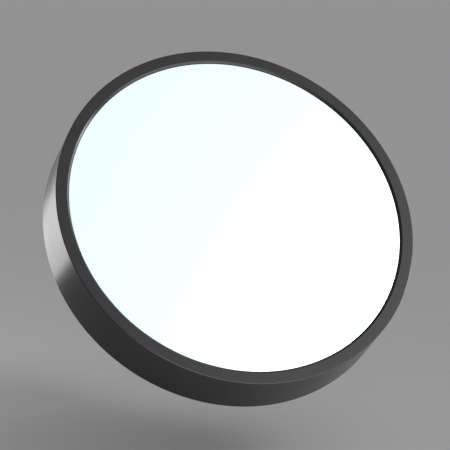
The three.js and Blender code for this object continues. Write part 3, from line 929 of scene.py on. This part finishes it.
def housing():
    levels, radii = gauge("housing", HEAD_FRAME)
    back, front, outer = levels[0], levels[-1], radii[-1]
    web_front = gauge("mirror_pad", HEAD_FRAME)[0][0] - CLEARANCE
    web_back = web_front - WEB_THICKNESS
    recess = gauge("mirror_glass", HEAD_FRAME)[1][-1] + RECESS_GAP
    cover_levels, cover_radii = gauge("back_cover", HEAD_FRAME)
    inner = cover_radii[-1] + CLEARANCE
    drum = turned(
        [
            (0, web_back),
            (inner, web_back, SMALL_EDGE),
            (inner, back, SMALL_EDGE),
            (outer, back, DRUM_BACK_EDGE),
            (outer, front - RIM_CHAMFER, CHAMFER_EASE),
            (outer - RIM_CHAMFER, front, CHAMFER_EASE),
            (recess + RECESS_CHAMFER, front, CHAMFER_EASE),
            (recess, front - RECESS_CHAMFER, CHAMFER_EASE),
            (recess, web_front, SMALL_EDGE),
            (0, web_front),
        ],
        FINE_SIDES,
    )
    post_back = cover_levels[-1] + CLEARANCE
    for spot in screw_spots(COVER_SCREWS, HEAD_FRAME):
        post = turned(
            [
                (SMALL_HOLE, post_back, FINE_EDGE), (POST_RADIUS, post_back, SMALL_EDGE),
                (POST_RADIUS, web_back), (SMALL_HOLE, web_back),
            ],
            SIDES,
            closed=True,
        )
        laid(post, Matrix.Translation((*spot, 0)))
        drum = combined("UNION", drum, post)
    show("housing", drum, HEAD_FRAME, DRUM_BLACK)


def mirror_glass():
    levels, radii = gauge("mirror_glass", HEAD_FRAME)
    back, front, outer = levels[0], levels[-1], radii[-1]
    glass = turned(
        [
            (0, back),
            (outer, back, GLASS_BACK_EDGE),
            (outer, front - GLASS_BEVEL_DEPTH, GLASS_EASE),
            (outer - GLASS_BEVEL, front),
            (0, front),
        ],
        FINE_SIDES,
    )
    show("mirror_glass", glass, HEAD_FRAME, SILVERING)


def disc(node, material, holes, grooves=()):
    """A flat disc across the head, with holes for screws and rings moulded in its back."""
    levels, radii = gauge(node, HEAD_FRAME)
    low, high, outer = levels[0], levels[-1], radii[-1]
    profile = [(0, low)]
    for middle_radius in grooves:
        profile += [
            (middle_radius - GROOVE_WIDTH / 2, low, FINE_EDGE),
            (middle_radius - GROOVE_WIDTH / 4, low + GROOVE_DEPTH, FINE_EDGE),
            (middle_radius + GROOVE_WIDTH / 4, low + GROOVE_DEPTH, FINE_EDGE),
            (middle_radius + GROOVE_WIDTH / 2, low, FINE_EDGE),
        ]
    profile += [(outer, low, SMALL_EDGE), (outer, high, SMALL_EDGE), (0, high)]
    shape = turned(profile, FINE_SIDES)
    tools = [
        pin(SMALL_HOLE, low - PAST, high + PAST, spot) for spot in screw_spots(holes, HEAD_FRAME)
    ]
    if tools:
        shape = combined("DIFFERENCE", shape, *tools)
    show(node, shape, HEAD_FRAME, material)


def mirror_head():
    housing()
    mirror_glass()
    disc("mirror_pad", FOAM, [])
    disc("stiffener_plate", BRUSHED_STEEL, KNUCKLE_SCREWS)
    disc("back_cover", COVER_BLACK, COVER_SCREWS + KNUCKLE_SCREWS, grooves=BACK_GROOVES)
    knuckle()
    for name in COVER_SCREWS + KNUCKLE_SCREWS:
        screw(name, HEAD_FRAME)


rod_sets()
wall_side()
scissor_arm()
front_side()
mirror_head()

# Stage -------------------------------------------------------------------------------------

HEAD_LEVELS, HEAD_RADII = gauge("housing", HEAD_FRAME)
HEAD_REACH = math.hypot(HEAD_LEVELS[-1], HEAD_RADII[-1])  # from the tilt axis
FLOOR_GAP = 0.5 * MM  # under the head at its lowest tilt
FLOOR_HEIGHT = TILT_PLACE.z - HEAD_REACH - FLOOR_GAP
CARD_LIFT = 3 * MM  # of the low card, above the floor
FLOOR_SIZE = 24.0
FLOOR_GREY = 0.71
WORLD_LIGHT = 0.28

# The ways of the camera's picture: into it, to its right and up it
FORWARD = Vector((
    math.sin(CAMERA_AZIMUTH) * math.cos(CAMERA_DROP),
    math.cos(CAMERA_AZIMUTH) * math.cos(CAMERA_DROP),
    -math.sin(CAMERA_DROP),
))
RIGHT = Vector((math.cos(CAMERA_AZIMUTH), -math.sin(CAMERA_AZIMUTH), 0))
UP = RIGHT.cross(FORWARD)

# What the mirror shows the camera, and the way there that is low and right in the picture
LOW_TURN = math.radians(32.2)  # below the right
SEEN_WAY = FORWARD.reflect(MIRROR_WAY)
RIGHT_LOW = (
    math.cos(LOW_TURN) * RIGHT.reflect(MIRROR_WAY) - math.sin(LOW_TURN) * UP.reflect(MIRROR_WAY)
)
PANEL_DISTANCE = 1.2  # from the mirror to the panels that it shows


def floor():
    mesh = bpy.data.meshes.new("floor")
    half = FLOOR_SIZE / 2
    corners = [(-half, -half, 0), (half, -half, 0), (half, half, 0), (-half, half, 0)]
    mesh.from_pydata(corners, [], [(0, 1, 2, 3)])
    material, _, shader = blank_material("floor_grey")
    shader.inputs["Base Color"].default_value = (FLOOR_GREY, FLOOR_GREY, FLOOR_GREY, 1)
    shader.inputs["Roughness"].default_value = 0.9
    shader.inputs["Specular IOR Level"].default_value = 0.1
    mesh.materials.append(material)
    sheet = bpy.data.objects.new("floor", mesh)
    sheet.location = (0, 0, FLOOR_HEIGHT)
    bpy.context.scene.collection.objects.link(sheet)


def world():
    sky = bpy.data.worlds.new("studio")
    sky.use_nodes = True
    background = sky.node_tree.nodes["Background"]
    background.inputs["Color"].default_value = (1, 1, 1, 1)
    background.inputs["Strength"].default_value = WORLD_LIGHT
    bpy.context.scene.world = sky


def camera():
    front = HEAD_FRAME @ Vector((0, 0, HEAD_LEVELS[-1]))
    radius = HEAD_RADII[-1] - RIM_INSET
    offset = CAMERA_RIGHT * RIGHT + CAMERA_UP * UP + CAMERA_DISTANCE * FORWARD
    lens = bpy.data.cameras.new("camera")
    lens.sensor_width = SENSOR_MM
    lens.lens = LENS_MM
    eye = bpy.data.objects.new("camera", lens)
    eye.matrix_world = placed(front - radius * offset, -FORWARD, RIGHT)
    bpy.context.scene.collection.objects.link(eye)
    bpy.context.scene.camera = eye


def hang(name, lamp, place, way, lit=None):
    """Hangs a lamp that the camera can't see. way is from what it lights toward the lamp.
    It lights the pieces in the collection lit, or everything."""
    light = bpy.data.objects.new(name, lamp)
    light.matrix_world = placed(place, way, X_AXIS)
    light.visible_camera = False
    light.light_linking.receiver_collection = lit
    bpy.context.scene.collection.objects.link(light)


def softbox(name, place, way, width, height, radiance, spread=180, lit=None):
    """A lit panel, its light within a cone of spread degrees."""
    lamp = bpy.data.lights.new(name, "AREA")
    lamp.shape = "RECTANGLE"
    lamp.size = width
    lamp.size_y = height
    lamp.energy = radiance * math.pi * width * height
    lamp.spread = math.radians(spread)
    hang(name, lamp, place, way, lit)


def far_light(name, way, angle, radiance):
    """A round even light far away, angle degrees across."""
    lamp = bpy.data.lights.new(name, "SUN")
    lamp.angle = math.radians(angle)
    lamp.energy = radiance * 2 * math.pi * (1 - math.cos(lamp.angle / 2))
    hang(name, lamp, ORIGIN, way)


def far_lights():
    """The key, round what the mirror shows the camera, and a fill from the front."""
    far_light("key", SEEN_WAY + 0.08 * RIGHT_LOW, angle=50, radiance=0.7)
    far_light("fill", Vector((-0.25, -0.93, 0.27)), angle=36, radiance=1.0)


def mirror_panels():
    """Two panels that add to the key across part of the mirror, as the camera sees it."""
    face = HEAD_FRAME @ Vector((0, 0, gauge("mirror_glass", HEAD_FRAME)[0][-1]))
    place = face + PANEL_DISTANCE * (SEEN_WAY + 0.18 * RIGHT_LOW).normalized()
    softbox(
        "key_edge", place, SEEN_WAY + 0.36 * RIGHT_LOW,
        width=0.62, height=0.62, radiance=0.25, spread=40,
    )
    softbox(
        "key_fade", place, SEEN_WAY + 0.29 * RIGHT_LOW,
        width=0.95, height=0.95, radiance=0.018, spread=40,
    )


def drum_lights():
    """The lights that show on the drum's side: one behind it, and a card by the floor in front."""
    softbox(
        "side", Vector((-0.23, 0.115, 0)), Vector((-0.15, 0.255, -0.05)),
        width=0.25, height=0.18, radiance=0.92, spread=100,
    )
    softbox(
        "low_card", Vector((0.32, -0.5, FLOOR_HEIGHT + CARD_LIFT)), -Z_AXIS,
        width=1.25, height=0.47, radiance=3.7,
    )


def edge_lights():
    """Two panels on the right that light only the housing and the mirror, for their edges."""
    face_pieces = bpy.data.collections.new("face_pieces")
    for name in ("housing_look", "mirror_glass_look"):
        face_pieces.objects.link(bpy.data.objects[name])
    softbox(
        "edge_up", Vector((1, -0.09, 0.34)), Vector((1, 0.06, 0.31)),
        width=0.52, height=0.25, radiance=1.0, spread=100, lit=face_pieces,
    )
    softbox(
        "edge_down", Vector((1, -0.1, 0.03)), Vector((1, 0.05, 0)),
        width=0.35, height=0.2, radiance=3.2, spread=100, lit=face_pieces,
    )


floor()
world()
camera()
far_lights()
mirror_panels()
drum_lights()
edge_lights()
bpy.context.scene.view_settings.view_transform = "Standard"
